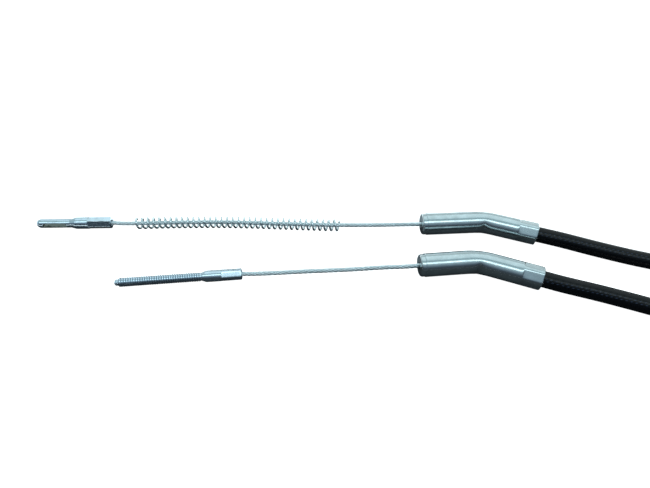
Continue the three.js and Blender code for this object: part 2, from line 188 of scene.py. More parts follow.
class Way:
    """A smooth way through points in millimetres, a centripetal Catmull-Rom line measured by its length."""

    def __init__(self, points):
        p = np.array(points, float)
        p = np.vstack([2 * p[0] - p[1], p, 2 * p[-1] - p[-2]])
        pieces = []
        for a, b, c, d in zip(p, p[1:], p[2:], p[3:]):
            first, middle, last = (max(np.linalg.norm(v) ** 0.5, 1e-4) for v in (b - a, c - b, d - c))
            leaving = ((b - a) / first - (c - a) / (first + middle) + (c - b) / middle) * middle
            arriving = ((c - b) / middle - (d - b) / (middle + last) + (d - c) / last) * middle
            t = np.linspace(0, 1, 120, endpoint=False)[:, None]
            squares = (-3 * b + 3 * c - 2 * leaving - arriving) * t**2
            cubes = (2 * b - 2 * c + leaving + arriving) * t**3
            pieces.append(b + leaving * t + squares + cubes)
        rough = np.vstack([*pieces, p[-2][None]])
        reach = np.concatenate([[0], np.cumsum(np.linalg.norm(np.diff(rough, axis=0), axis=1))])
        self.length = reach[-1]
        self.reach = np.linspace(0, self.length, int(self.length / 0.5) + 2)
        self.line = np.column_stack([np.interp(self.reach, reach, rough[:, i]) for i in range(3)])
        self.heading = np.gradient(self.line, self.reach, axis=0)

    def at(self, along):
        """Centre, direction, left and up at distances along the way."""
        centre = np.column_stack([np.interp(along, self.reach, self.line[:, i]) for i in range(3)])
        direction = np.column_stack([np.interp(along, self.reach, self.heading[:, i]) for i in range(3)])
        direction /= np.linalg.norm(direction, axis=1)[:, None]
        left = np.cross([0, 0, 1], direction)
        left /= np.linalg.norm(left, axis=1)[:, None]
        return centre, direction, left, np.cross(direction, left)

    def laid(self, along, left, up):
        """Places at distances along the way, to its left and above it."""
        centre, _, to_left, upwards = self.at(along)
        return centre + to_left * np.asarray(left)[:, None] + upwards * np.asarray(up)[:, None]


def wheel_rope_way():
    ferrule_height = sizes().ferrule_diameter / MM / 2
    return Way(
        [
            ahead(EYE_SEAT, ROPE_SEAT_DEPTH, EYE_SLEEVE),
            ahead(EYE_SEAT, 0, EYE_SLEEVE),
            *reversed(WHEEL_ROPE_WAY),
            ahead(WHEEL_ROPE_LINE, -WORKING_TRAVEL, ferrule_height),
            ahead(WHEEL_ROPE_LINE, -WORKING_TRAVEL / 2, ferrule_height),
            ahead(WHEEL_ROPE_LINE, WHEEL_ROPE_REACH, ferrule_height),
        ]
    )


def lever_rope_way():
    ferrule_height = sizes().ferrule_diameter / MM / 2
    return Way(
        [
            ahead(STUD_SEAT, ROPE_SEAT_DEPTH, STUD_SLEEVE),
            ahead(STUD_SEAT, 0, STUD_SLEEVE),
            *reversed(LEVER_ROPE_WAY),
            ahead(LEVER_FERRULE, -MOUTH_STRAIGHT, ferrule_height),
            ahead(LEVER_FERRULE, 0, ferrule_height),
            ahead(LEVER_FERRULE, LEVER_ROPE_REACH / 2, ferrule_height),
            ahead(LEVER_FERRULE, LEVER_ROPE_REACH, ferrule_height),
        ]
    )


def conduit_way():
    return Way(
        [
            past_tail(WHEEL_FERRULE, -CONDUIT_SEAT_DEPTH),
            past_tail(WHEEL_FERRULE, 0),
            past_tail(WHEEL_FERRULE, WHEEL_STRAIGHT),
            *CONDUIT_WAY,
            past_tail(LEVER_FERRULE, LEVER_STRAIGHT),
            past_tail(LEVER_FERRULE, 0),
            past_tail(LEVER_FERRULE, -CONDUIT_SEAT_DEPTH),
        ]
    )


def deselect_everything():
    if bpy.context.object and bpy.context.object.mode != "OBJECT":
        bpy.ops.object.mode_set(mode="OBJECT")
    bpy.ops.object.select_all(action="DESELECT")


def select_only(piece):
    deselect_everything()
    piece.select_set(True)
    bpy.context.view_layer.objects.active = piece


def reshape(piece, change):
    """Moves the piece's points to where change puts them, from arrays of x, y and z."""
    places = np.empty(len(piece.data.vertices) * 3, np.float32)
    piece.data.vertices.foreach_get("co", places)
    x, y, z = places.reshape(-1, 3).T.astype(float)
    piece.data.vertices.foreach_set("co", np.column_stack(change(x, y, z)).astype(np.float32).ravel())
    piece.data.update()


def turned(name, outline, sides):
    """Draws a lathe outline of (along, radius) points by extruding a point, and spins it about X."""
    deselect_everything()
    bpy.ops.mesh.primitive_plane_add(size=0.5, location=(0, 0, 0))
    piece = bpy.context.object
    piece.name = name
    bpy.ops.object.mode_set(mode="EDIT")
    bpy.ops.mesh.select_mode(type="VERT")
    bpy.ops.mesh.select_all(action="SELECT")
    bpy.ops.mesh.merge(type="CENTER")
    bpy.ops.transform.translate(value=(outline[0][0], 0, outline[0][1]))
    for (along, radius), (next_along, next_radius) in zip(outline, outline[1:]):
        step = (next_along - along, 0, next_radius - radius)
        bpy.ops.mesh.extrude_vertices_move(TRANSFORM_OT_translate={"value": step})
    bpy.ops.mesh.select_all(action="SELECT")
    bpy.ops.mesh.spin(steps=sides, angle=2 * math.pi, center=(0, 0, 0), axis=(1, 0, 0))
    bpy.ops.mesh.select_all(action="SELECT")
    bpy.ops.mesh.remove_doubles(threshold=0.002)
    bpy.ops.mesh.normals_make_consistent(inside=False)
    bpy.ops.object.mode_set(mode="OBJECT")
    return piece


def rolled(name, length, steps, sides):
    """Rolls a grid about X into an open tube of radius 1, whose UV map runs along it and round it."""
    deselect_everything()
    bpy.ops.mesh.primitive_grid_add(x_subdivisions=steps, y_subdivisions=sides, size=2)
    piece = bpy.context.object
    piece.name = name
    reshape(
        piece,
        lambda x, y, z: ((x + 1) / 2 * length, np.cos((y + 1) * math.pi), np.sin((y + 1) * math.pi)),
    )
    bpy.ops.object.mode_set(mode="EDIT")
    bpy.ops.mesh.select_mode(type="VERT")
    bpy.ops.mesh.select_all(action="SELECT")
    bpy.ops.mesh.remove_doubles(threshold=0.0005)
    bpy.ops.object.mode_set(mode="OBJECT")
    return piece


def ends_closed(piece):
    """Fills the open ends of a tube and turns its faces outwards."""
    select_only(piece)
    bpy.ops.object.mode_set(mode="EDIT")
    bpy.ops.mesh.select_mode(type="EDGE")
    bpy.ops.mesh.select_all(action="DESELECT")
    bpy.ops.mesh.select_non_manifold()
    bpy.ops.mesh.fill_holes(sides=0)
    bpy.ops.mesh.select_all(action="SELECT")
    bpy.ops.mesh.normals_make_consistent(inside=False)
    bpy.ops.object.mode_set(mode="OBJECT")
    return piece


def walled(piece, wall):
    """Gives an open tube its wall, inwards from its outside."""
    select_only(piece)
    bpy.ops.object.mode_set(mode="EDIT")
    bpy.ops.mesh.select_all(action="SELECT")
    bpy.ops.mesh.normals_make_consistent(inside=False)
    bpy.ops.object.mode_set(mode="OBJECT")
    solidify = piece.modifiers.new("wall", "SOLIDIFY")
    solidify.thickness = wall
    solidify.offset = -1
    solidify.use_rim = True
    bpy.ops.object.modifier_apply(modifier=solidify.name)


def settled(piece, material, node, body, sharp=40):
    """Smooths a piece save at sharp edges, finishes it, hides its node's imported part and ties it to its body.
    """
    select_only(piece)
    bpy.ops.object.shade_smooth_by_angle(angle=math.radians(sharp))
    piece.data.materials.clear()
    piece.data.materials.append(material)
    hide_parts(node)
    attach(piece, body)
    piece.select_set(False)


def in_metres(x, y, z):
    """Millimetres of the part's source as metres of the row frame."""
    return (x - ORIGIN_MM[0]) * MM, (y - ORIGIN_MM[1]) * MM, (z - ORIGIN_MM[2]) * MM


def seated(piece, seat, height):
    """Stands a piece that was made about X at a seat, looking along its heading."""
    heading = math.radians(seat["heading"])
    ahead_x, ahead_y = math.cos(heading), math.sin(heading)
    reshape(
        piece,
        lambda x, y, z: in_metres(
            seat["x"] + x * ahead_x - y * ahead_y, seat["y"] + x * ahead_y + y * ahead_x, z + height
        ),
    )
    return piece


def rounded(middle, radius, start, end, count=5):
    """Points of a rounded corner of an outline, between two angles in degrees from the axis."""
    turns = [math.radians(start + (end - start) * i / count) for i in range(count + 1)]
    return [(middle[0] + radius * math.cos(t), middle[1] + radius * math.sin(t)) for t in turns]


def stations(start, end, step):
    """Evenly spaced stations between two, both left out."""
    count = max(2, round((end - start) / step))
    return [start + (end - start) * i / count for i in range(1, count)]


def smoothstep(x, low, high):
    t = np.clip((x - low) / (high - low), 0, 1)
    return t * t * (3 - 2 * t)


def six_flats(x, y, z, radius, bore, depth, pressed, turn):
    """Presses six flats round X into the outside of a tube, as far as pressed says at each point."""
    reach = np.hypot(y, z)
    sixth = math.pi / 3
    angle = np.arctan2(y, z) - math.radians(turn)
    off_flat = angle - sixth * np.round(angle / sixth)
    flat = (radius - depth) / np.cos(off_flat)
    sharp = 70
    soft = (radius**-sharp + flat**-sharp) ** (-1 / sharp)
    share = np.where(reach > bore + 0.05, pressed, 0) * np.clip((reach - bore) / (radius - bore), 0, 1)
    factor = 1 + (soft / radius - 1) * share
    return x, y * factor, z * factor


def rope_bore():
    return sizes().rope_diameter / MM / 2 + SEAT_GAP


def sleeve_outline(radius, crimp_end):
    """Bore, mouth and outside of a sleeve that takes the rope's end, up to the end of its crimp."""
    bore, depth = rope_bore(), ROPE_SEAT_DEPTH + SEAT_GAP
    ramp = crimp_end - CRIMP_RAMP
    outline = [(depth, 0), (depth, bore), (MOUTH_CHAMFER, bore), (0, bore + MOUTH_CHAMFER)]
    outline += rounded((SLEEVE_ROUND, radius - SLEEVE_ROUND), SLEEVE_ROUND, 180, 90)
    outline += [(x, radius) for x in stations(SLEEVE_ROUND, ramp, step=1.2)]
    outline += [(ramp, radius)]
    outline += [(x, radius) for x in stations(ramp, crimp_end, step=0.2)]
    return [*outline, (crimp_end, radius)]


def ferrule_lengths(ferrule):
    """Bend angle, where the bend starts and ends, and the length of a ferrule along its axis."""
    angle = math.radians(ferrule["bend"])
    bend_radius = sizes().bend_radius / MM
    tangent = bend_radius * math.tan(angle / 2)
    start = ferrule["lead"] - tangent
    end = start + bend_radius * angle
    return angle, start, end, end + ferrule["tail"] - tangent


def bent_right(x, y, z, start, angle, bend_radius):
    end = start + bend_radius * angle
    turn = np.clip(x - start, 0, end - start) / bend_radius
    beyond = np.maximum(x - end, 0)
    reach = bend_radius + y
    bent_x = start + reach * np.sin(turn) + beyond * np.cos(turn)
    bent_y = reach * np.cos(turn) - bend_radius - beyond * np.sin(turn)
    return np.where(x <= start, x, bent_x), np.where(x <= start, y, bent_y), z


def feed(tree, socket, value):
    """Gives an input a link from an output, or else a value of its own."""
    if isinstance(value, bpy.types.NodeSocket):
        tree.links.new(value, socket)
    else:
        socket.default_value = value


def add_node(tree, kind, inputs=None, **settings):
    """Adds a shader node, with its settings, and feeds those of its inputs that are named."""
    made = tree.nodes.new(f"ShaderNode{kind}")
    for setting, value in settings.items():
        setattr(made, setting, value)
    for socket, value in (inputs or {}).items():
        feed(tree, made.inputs[socket], value)
    return made


def maths(tree, operation, *values):
    return add_node(tree, "Math", dict(enumerate(values)), operation=operation).outputs[0]


def noise(tree, place, scale, detail=2):
    inputs = {"Vector": place, "Scale": scale, "Detail": detail}
    return add_node(tree, "TexNoise", inputs).outputs["Fac"]


def mixed(tree, share, first, second):
    """A colour between two, from a share of the second."""
    inputs = {"Factor": share, "A": first, "B": second}
    return add_node(tree, "Mix", inputs, data_type="RGBA").outputs["Result"]


def opaque(colour, share=1):
    """A colour, dimmed or brightened by a share, with its alpha."""
    return (*(c * share for c in colour), 1)


def new_material(name):
    """A new material, its node tree and the inputs of its shader."""
    material = bpy.data.materials.new(name)
    material.use_nodes = True
    return material, material.node_tree, material.node_tree.nodes["Principled BSDF"].inputs


def node_group(name, inputs, outputs):
    """An empty shader node group, with the sockets that it is given and those of its result."""
    group = bpy.data.node_groups.new(name, "ShaderNodeTree")
    for socket, kind, default in inputs:
        made = group.interface.new_socket(socket, in_out="INPUT", socket_type=f"NodeSocket{kind}")
        if default is not None:
            made.default_value = default
    for socket, kind in outputs:
        group.interface.new_socket(socket, in_out="OUTPUT", socket_type=f"NodeSocket{kind}")
    return group, group.nodes.new("NodeGroupInput").outputs, group.nodes.new("NodeGroupOutput").inputs


def worked_surface_group():
    """Streaks of turning or drawing and blotches of plating, for every metal."""
    if "Worked Surface" in bpy.data.node_groups:
        return bpy.data.node_groups["Worked Surface"]
    group, given, result = node_group(
        "Worked Surface",
        [
            ("Vector", "Vector", None),
            ("Colour", "Color", (0.7, 0.75, 0.8, 1)),
            ("Dull Colour", "Color", (0.5, 0.55, 0.6, 1)),
            ("Streaks Along", "Float", 3000.0),
            ("Streaks Across", "Float", 150.0),
            ("Blotch Scale", "Float", 120.0),
            ("Smoothest", "Float", 0.12),
            ("Roughest", "Float", 0.3),
            ("Streak Depth", "Float", 0.00001),
        ],
        [("Colour", "Color"), ("Roughness", "Float"), ("Normal", "Vector")],
    )
    across = given["Streaks Across"]
    stretch = add_node(group, "CombineXYZ", {"X": given["Streaks Along"], "Y": across, "Z": across})
    place = {0: given["Vector"], 1: stretch.outputs[0]}
    stretched = add_node(group, "VectorMath", place, operation="MULTIPLY")
    streaks = noise(group, stretched.outputs[0], 1, 3)
    blotches = noise(group, given["Vector"], given["Blotch Scale"], 4)
    shaped = add_node(group, "MapRange", {"From Min": 0.35, "From Max": 0.7, "Value": blotches})
    dulled = shaped.outputs["Result"]
    feed(group, result["Colour"], mixed(group, dulled, given["Colour"], given["Dull Colour"]))
    both = maths(group, "MULTIPLY_ADD", streaks, 0.45, maths(group, "MULTIPLY", dulled, 0.55))
    limits = {"To Min": given["Smoothest"], "To Max": given["Roughest"]}
    rough = add_node(group, "MapRange", {"Value": both, **limits})
    feed(group, result["Roughness"], rough.outputs["Result"])
    bump = add_node(group, "Bump", {"Strength": 1, "Height": streaks, "Distance": given["Streak Depth"]})
    feed(group, result["Normal"], bump.outputs["Normal"])
    return group


def metal(name, colour, dull, heading=0, **values):
    """A metal whose streaks cross its axis, with the worked surface's values by name."""
    material, tree, shader = new_material(name)
    shader["Metallic"].default_value = 1
    place = add_node(tree, "TexCoord").outputs["Object"]
    turn = add_node(tree, "Mapping", {"Vector": place, "Rotation": (0, 0, -math.radians(heading))})
    inputs = {socket.replace("_", " ").title(): value for socket, value in values.items()}
    inputs["Vector"] = turn.outputs["Vector"]
    inputs["Colour"] = opaque(colour)
    inputs["Dull Colour"] = opaque(colour, dull)
    surface = add_node(tree, "Group", inputs, node_tree=worked_surface_group()).outputs
    feed(tree, shader["Base Color"], surface["Colour"])
    feed(tree, shader["Roughness"], surface["Roughness"])
    feed(tree, shader["Normal"], surface["Normal"])
    return material


def bright_zinc(name, heading, colour=None):
    values = {"streaks_along": 2200, "streaks_across": 90, "blotch_scale": 160}
    values |= {"smoothest": 0.12, "roughest": 0.26, "streak_depth": 0.000006}
    return metal(name, colour or finishes().zinc, 0.82, heading, **values)


def drawn_rope_wire(name):
    values = {"streaks_along": 400, "streaks_across": 2500, "blotch_scale": 500}
    values |= {"smoothest": 0.22, "roughest": 0.42, "streak_depth": 0.000008}
    return metal(name, finishes().rope_wire, 0.9, **values)


def drawn_spring_wire():
    values = {"streaks_along": 300, "streaks_across": 300, "blotch_scale": 400}
    values |= {"smoothest": 0.16, "roughest": 0.32, "streak_depth": 0.000004}
    return metal("spring_wire", finishes().spring_wire, 0.8, **values)


def painted_recess_shade(material, dark):
    """Darkens a metal's colour where its piece is marked as inside a slot or a groove: painted shade in these
    recesses.
    """
    tree = material.node_tree
    base = tree.nodes["Principled BSDF"].inputs["Base Color"]
    mark = add_node(tree, "Attribute", attribute_name="inside").outputs["Fac"]
    feed(tree, base, mixed(tree, mark, base.links[0].from_socket, opaque(dark)))


def helical_print_group():
    """Height of wires that wind round a tube, from its UV map."""
    if "Helical Print" in bpy.data.node_groups:
        return bpy.data.node_groups["Helical Print"]
    group, given, result = node_group(
        "Helical Print",
        [("UV", "Vector", None), ("Turns", "Float", 8.0), ("Wires", "Float", 18.0)],
        [("Height", "Float")],
    )
    place = add_node(group, "SeparateXYZ", {0: given["UV"]}).outputs
    wound = maths(group, "ADD", maths(group, "MULTIPLY", place["X"], given["Turns"]), place["Y"])
    counted = maths(group, "MULTIPLY", wound, given["Wires"])
    feed(group, result["Height"], maths(group, "SINE", maths(group, "MULTIPLY", counted, 2 * math.pi)))
    return group


def highlight_dots_group():
    """Mask of a double row of short slanted dots along a tube, from its UV map, for a painted highlight."""
    if "Painted Highlight Dots" in bpy.data.node_groups:
        return bpy.data.node_groups["Painted Highlight Dots"]
    group, given, result = node_group(
        "Painted Highlight Dots", [("UV", "Vector", None), ("Dots", "Float", 190.0)], [("Mask", "Float")]
    )
    place = add_node(group, "SeparateXYZ", {0: given["UV"]}).outputs
    drift = maths(group, "MULTIPLY", place["X"], HIGHLIGHT_ROW_DRIFT)
    off_row = maths(group, "SUBTRACT", maths(group, "ADD", place["Y"], drift), HIGHLIGHT_ROW_PLACE)
    side = maths(group, "SUBTRACT", maths(group, "ABSOLUTE", off_row), HIGHLIGHT_ROW_SPREAD)
    outwards = maths(group, "DIVIDE", maths(group, "ABSOLUTE", side), HIGHLIGHT_DOT_WIDTH)
    across = maths(group, "SUBTRACT", 1, outwards)
    turns = maths(group, "MULTIPLY", place["X"], given["Dots"])
    slanted = maths(group, "ADD", turns, maths(group, "MULTIPLY", off_row, HIGHLIGHT_DOT_SLANT))
    wave = maths(group, "SINE", maths(group, "MULTIPLY", slanted, 2 * math.pi))
    mask = maths(group, "MULTIPLY", maths(group, "MAXIMUM", across, 0), maths(group, "MAXIMUM", wave, 0))
    feed(group, result["Mask"], mask)
    return group


def black_jacket(length):
    """Extruded black plastic, satin, with the armour printing through it and a painted highlight of bluish dots
    in a double row.
    """
    material, tree, shader = new_material("black_jacket")
    uv = add_node(tree, "UVMap", uv_map="UVMap").outputs["UV"]
    place = add_node(tree, "TexCoord").outputs["Object"]
    wound = {"UV": uv, "Turns": length * MM / sizes().armour_lay, "Wires": sizes().armour_wires}
    wires = add_node(tree, "Group", wound, node_tree=helical_print_group())
    dotted = {"UV": uv, "Dots": length / HIGHLIGHT_DOT_PITCH}
    row = add_node(tree, "Group", dotted, node_tree=highlight_dots_group())
    grain = noise(tree, place, 1800, 3)
    scuffs = noise(tree, place, 220, 5)
    black = finishes().jacket
    colour = mixed(tree, scuffs, opaque(black), opaque(black, 1.6))
    # Painted highlight: bluish dots where the lamp's highlight runs along the jacket
    feed(tree, shader["Base Color"], mixed(tree, row.outputs["Mask"], colour, HIGHLIGHT_DOT_COLOUR))
    rough = add_node(tree, "MapRange", {"Value": scuffs, "To Min": 0.2, "To Max": 0.34})
    feed(tree, shader["Roughness"], rough.outputs["Result"])
    shader["Specular IOR Level"].default_value = 0.28
    height = maths(tree, "MULTIPLY_ADD", grain, 0.12, wires.outputs["Height"])
    bump = add_node(tree, "Bump", {"Strength": 0.25, "Distance": 0.00005, "Height": height})
    feed(tree, shader["Normal"], bump.outputs["Normal"])
    return material


def smooth_liner():
    material, tree, shader = new_material("smooth_liner")
    cloud = noise(tree, add_node(tree, "TexCoord").outputs["Object"], 90)
    pale = finishes().liner
    feed(tree, shader["Base Color"], mixed(tree, cloud, opaque(pale), opaque(pale, 0.85)))
    shader["Roughness"].default_value = 0.4
    return material


def twisted_rope(name, way, radius, strands, lay, step=0.7, points_per_strand=10):
    """A rope of wires that wind round a core, along a whole way."""
    piece = rolled(name, way.length, round(way.length / step), strands * points_per_strand)
    wire = radius * math.sin(math.pi / strands) / (1 + math.sin(math.pi / strands))
    centre = radius - wire

    def wound(x, y, z):
        angle = np.arctan2(z, y)
        off_crown = (angle * strands / (2 * math.pi) + 0.5) % 1 - 0.5
        swing = off_crown * 2 * math.pi / strands
        reach = centre * np.cos(swing) + np.sqrt(np.maximum(wire**2 - (centre * np.sin(swing)) ** 2, 0))
        twisted = angle + 2 * math.pi * x / lay
        return way.laid(x, reach * np.cos(twisted), reach * np.sin(twisted)).T

    reshape(piece, lambda x, y, z: in_metres(*wound(x, y, z)))
    return ends_closed(piece)


def round_tube(name, way, radius, wall, step, sides):
    """A plain tube along a whole way."""
    piece = rolled(name, way.length, round(way.length / step), sides)
    reshape(piece, lambda x, y, z: (x, y * radius, z * radius))
    walled(piece, wall)
    reshape(piece, lambda x, y, z: in_metres(*way.laid(x, y, z).T))
    return piece


class BRAKECABLE_OT_set_stage(bpy.types.Operator):
    """Sets the floor, the soft studio light and the camera at the photograph's viewing angle"""

    bl_idname = "brakecable.set_stage"
    bl_label = "Set Stage"

    CAMERA_PLACE = (0.0288, -0.218905, 0.25522)
    CAMERA_AIM = (0.0288, 0.003895, 0.00775)
    CAMERA_LENS = 27.14
    CAMERA_SENSOR = 36
    LAMP_AIM = (0.06, 0, 0)
    LAMP_COLOUR = (0.84, 0.97, 1)
    DARK_SHADE = 0.075
    GREY_SHADE = 0.4

    # Each lane as x, y and how far its card reaches behind it, in metres
    UPPER_LANE = [
        (-0.2, 0.0275, 0.004), (-0.1245, 0.028, 0.007), (-0.112, 0.028, 0.007), (0, 0.0255, 0.004),
        (0.0958, 0.0227, 0.004), (0.0966, 0.0227, 0.015), (0.1406, 0.0252, 0.015),
        (0.175, 0.0131, 0.015), (0.18, 0.0115, 0.004), (0.2158, -0.0002, 0.004),
        (0.2398, -0.0078, 0.004), (0.2713, -0.0125, 0.004), (0.31, -0.001, 0.004),
    ]
    LOWER_LANE = [
        (-0.13, -0.0282, 0.004), (-0.0258, -0.0189, 0.007), (-0.014, -0.0186, 0.007),
        (-0.01, -0.0184, 0.004), (0.0895, -0.0151, 0.004), (0.0905, -0.0151, 0.015),
        (0.1296, -0.0116, 0.015), (0.1675, -0.026, 0.015), (0.172, -0.0275, 0.004),
        (0.2018, -0.0364, 0.004), (0.26, -0.06, 0.004),
    ]
    FRONT_LANE = [(-3.9, -0.15, 0), (3.9, -0.15, 0)]
    UPPER_NOSE_LANE = [(0.03, 0.0243, 0.04), (0.0958, 0.0227, 0.04)]
    LOWER_NOSE_LANE = [(0.03, -0.0166, 0.04), (0.0895, -0.0151, 0.04)]

    # The room's light from the back horizon, over the top, to the front one
    ROOM = [
        (0.0, (0.9, 1.0, 1.0)), (0.08, (0.78, 0.92, 0.95)), (0.16, (0.6, 0.72, 0.74)),
        (0.34, (0.54, 0.67, 0.69)), (0.45, (0.42, 0.55, 0.59)), (0.52, (0.42, 0.58, 0.62)),
        (0.64, (0.5, 0.66, 0.7)), (0.72, (0.38, 0.5, 0.57)), (0.8, (0.2, 0.26, 0.32)),
        (0.88, (0.06, 0.08, 0.1)), (1.0, (0.06, 0.07, 0.08)),
    ]
    ROOM_STRENGTH = 0.8

    def execute(self, context):
        data = bpy.data.cameras.new("photo_camera")
        data.sensor_width = self.CAMERA_SENSOR
        data.lens = self.CAMERA_LENS
        camera = self.aimed(context, "photo_camera", data, self.CAMERA_PLACE, self.CAMERA_AIM)
        context.scene.camera = camera

        deselect_everything()
        bpy.ops.mesh.primitive_plane_add(size=8)
        floor = context.object
        floor.name = "floor"
        floor.data.materials.append(self.floor_finish())

        self.card(context, "lower_lane_card", self.LOWER_LANE, 0.2, self.DARK_SHADE)
        self.card(context, "upper_lane_card", self.UPPER_LANE, 0.034, self.DARK_SHADE)
        self.card(context, "front_card", self.FRONT_LANE, 3.7, self.DARK_SHADE)
        self.card(context, "lower_nose_card", self.LOWER_NOSE_LANE, -0.004, self.GREY_SHADE)
        self.card(context, "upper_nose_card", self.UPPER_NOSE_LANE, -0.004, self.GREY_SHADE)
        self.lamp(context, "overhead_strip", (0.06, -0.31, 0.72), 1.6, 0.17, 1.35)
        self.lamp(context, "soft_fill", (0.1, 0.5, 0.9), 1.8, 0.9, 2.2)
        self.surroundings(context)
        context.scene.view_settings.view_transform = "Standard"
        return {"FINISHED"}

    def aimed(self, context, name, data, place, target):
        """Adds a camera or a lamp that looks from a place at a target."""
        made = bpy.data.objects.new(name, data)
        context.collection.objects.link(made)
        made.location = place
        made.rotation_euler = (Vector(target) - Vector(place)).to_track_quat("-Z", "Y").to_euler()
        return made

    def lamp(self, context, name, place, width, depth, power):
        light = bpy.data.lights.new(name, "AREA")
        light.shape = "RECTANGLE"
        light.size, light.size_y = width, depth
        light.energy = power
        light.color = self.LAMP_COLOUR
        self.aimed(context, name, light, place, self.LAMP_AIM)

    def card(self, context, name, lane, before, shade):
        """A card along a lane that only reflections show, for the dark and grey sides of bright metal."""
        deselect_everything()
        bpy.ops.mesh.primitive_grid_add(x_subdivisions=400, y_subdivisions=1, size=2)
        card = context.object
        card.name = name
        lane_x, lane_y, lane_behind = np.array(lane).T

        def along_lane(x, y, z):
            place = lane_x[0] + (x + 1) / 2 * (lane_x[-1] - lane_x[0])
            behind = np.interp(place, lane_x, lane_behind)
            return place, np.interp(place, lane_x, lane_y) + np.where(y > 0, behind, -before), z + 0.00015

        reshape(card, along_lane)
        material, _, shader = new_material(name)
        shader["Base Color"].default_value = (shade, shade * 0.99, shade * 1.04, 1)
        shader["Roughness"].default_value = 1
        shader["Specular IOR Level"].default_value = 0
        card.data.materials.append(material)
        card.visible_camera = False
        card.visible_diffuse = False
        card.visible_shadow = False
        card.visible_transmission = False

    def floor_finish(self):
        """White paint that is lit for the camera and in reflections, and shaded for all else."""
        material, tree, _ = new_material("floor")
        tree.nodes.clear()
        path = add_node(tree, "LightPath").outputs
        seen = maths(tree, "MAXIMUM", path["Is Camera Ray"], path["Is Transmission Ray"])
        paint = add_node(tree, "BsdfDiffuse", {"Color": opaque(finishes().floor)})
        shine = add_node(tree, "Emission", {"Strength": maths(tree, "MAXIMUM", seen, path["Is Glossy Ray"])})
        both = add_node(tree, "AddShader", {0: paint.outputs[0], 1: shine.outputs[0]})
        add_node(tree, "OutputMaterial", {"Surface": both.outputs[0]})
        return material

    def surroundings(self, context):
        world = bpy.data.worlds.new("soft_room")
        context.scene.world = world
        world.use_nodes = True
        tree = world.node_tree
        background = tree.nodes["Background"].inputs
        parts = add_node(tree, "SeparateXYZ", {0: add_node(tree, "TexCoord").outputs["Generated"]}).outputs
        share = maths(tree, "DIVIDE", maths(tree, "ARCTAN2", parts["Z"], parts["Y"]), math.pi)
        ramp = add_node(tree, "ValToRGB", {"Fac": share})
        bands = ramp.color_ramp.elements
        for band, (position, tint) in ((bands[0], self.ROOM[0]), (bands[1], self.ROOM[-1])):
            band.position, band.color = position, (*tint, 1)
        for position, tint in self.ROOM[1:-1]:
            bands.new(position).color = (*tint, 1)
        feed(tree, background["Color"], ramp.outputs["Color"])
        background["Strength"].default_value = self.ROOM_STRENGTH


class BRAKECABLE_OT_add_conduit(bpy.types.Operator):
    """Adds the black conduit with its armour, liner and the rope inside, along its way on the ground"""

    bl_idname = "brakecable.add_conduit"
    bl_label = "Add Conduit"

    def execute(self, context):
        size = sizes()
        way = conduit_way()
        rope = size.rope_diameter / MM / 2
        outside = size.conduit_diameter / MM / 2
        lined = rope + SEAT_GAP + LINER_WALL

        jacket = round_tube("jacket", way, outside, JACKET_WALL, 1.0, 48)
        settled(jacket, black_jacket(way.length), "conduit_jacket", "conduit")

        ring = outside - JACKET_WALL - SEAT_GAP
        armour = round_tube("armour", way, ring, ring - lined - SEAT_GAP, 1.5, 36)
        settled(armour, drawn_rope_wire("armour_wire"), "conduit_armour", "conduit")

        liner = round_tube("liner", way, lined, LINER_WALL, 1.5, 32)
        settled(liner, smooth_liner(), "conduit_liner", "conduit")

        inner = twisted_rope(
            "inner_rope", way, rope, size.rope_strands, size.strand_lay / MM, step=1.3, points_per_strand=4
        )
        settled(inner, drawn_rope_wire("inner_rope_wire"), "conduit_rope", "conduit", 60)

        line = way.line[:: max(1, len(way.line) // 400)]
        line = np.vstack([line, way.line[-1:]])
        return {"FINISHED"}


